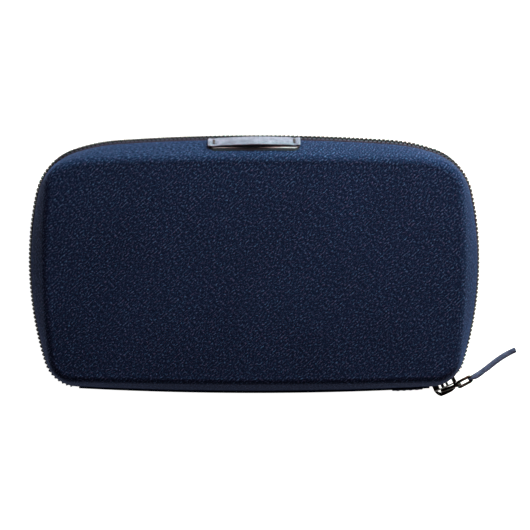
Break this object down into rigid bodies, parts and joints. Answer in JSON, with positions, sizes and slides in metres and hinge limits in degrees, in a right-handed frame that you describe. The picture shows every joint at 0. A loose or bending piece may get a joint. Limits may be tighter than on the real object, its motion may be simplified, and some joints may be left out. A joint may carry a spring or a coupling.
{
  "type": "passport holder wallet",
  "caption": "Flat zip-round travel wallet: two moulded fabric half shells folding open on a fabric spine, with inner pockets, a pen loop, a grip tag and a strap pull.",
  "frame": {"origin": "centre of the flat outer face of the back half, on the surface the wallet lies on", "axes": "+X along the wallet's length, to the right as seen from the front; +Y across it, from the spine to the zip side that carries the grip tag; +Z from the back half to the front half"},
  "size_m": [0.2227, 0.1207, 0.04],
  "materials": {
    "navy_fabric": "fine navy melange twill, matt with a soft glow at the edges",
    "moulded_foam": "closed-cell moulded foam",
    "lining": "slate plain-weave lining",
    "binding": "ribbed grosgrain and elastic",
    "zip_tape": "black woven tape",
    "zip_coil": "black nylon coil",
    "leather": "slate blue leather, semi-matt",
    "mesh": "stretch mesh",
    "thread": "bonded thread",
    "board": "stiffener board",
    "slider_metal": "black nickel plated zinc"
  },
  "bodies": {
    "back": {"back_cover_fabric": "navy_fabric", "back_foam_shell": "moulded_foam", "back_lining": "lining", "back_seam_binding": "binding", "back_zip_tape": "zip_tape", "back_zip_coil": "zip_coil", "document_pocket": "lining", "document_pocket_binding": "leather", "card_slot_upper": "leather", "card_slot_middle": "leather", "card_slot_lower": "leather", "slip_pocket": "leather"},
    "spine": {"spine_fabric": "navy_fabric", "spine_board": "board", "spine_lining": "lining", "zip_end_tab": "leather"},
    "front": {"front_cover_fabric": "navy_fabric", "front_foam_shell": "moulded_foam", "front_lining": "lining", "front_seam_binding": "binding", "front_zip_tape": "zip_tape", "front_zip_coil": "zip_coil", "mesh_pocket": "mesh", "mesh_pocket_binding": "binding", "pen_loop": "binding", "tag_backing": "leather", "tag_strap": "leather", "tag_tack_left": "thread", "tag_tack_right": "thread"},
    "slider": {"slider_body": "slider_metal", "slider_crown": "slider_metal"},
    "link": {"pull_link": "slider_metal"},
    "pull": {"pull_ring": "slider_metal", "pull_strap": "leather"}
  },
  "joints": [
    {"name": "spine_fold", "type": "hinge", "parent": "back", "child": "spine", "pos_m": [0, -0.0576, 0.014], "axis": [1, 0, 0], "range_deg": [0, 90]},
    {"name": "lid_fold", "type": "hinge", "parent": "spine", "child": "front", "pos_m": [0, -0.0576, 0.026], "axis": [1, 0, 0], "range_deg": [0, 90]},
    {"name": "slider_run", "type": "hinge", "parent": "back", "child": "slider", "pos_m": [0.07954, -0.04012, 0.02], "axis": [0, 0, 1], "range_deg": [0, 30]},
    {"name": "link_swivel", "type": "hinge", "parent": "slider", "child": "link", "pos_m": [0.08562, -0.05836, 0.02], "axis": [0, 0, 1], "range_deg": [-75, 0]},
    {"name": "tab_swivel", "type": "hinge", "parent": "link", "child": "pull", "pos_m": [0.0937, -0.05541, 0.02], "axis": [0, 0, 1], "range_deg": [-25, 20]}
  ],
  "couplings": [
    {"joint": "spine_fold", "follows": "lid_fold", "ratio": 1}
  ]
}
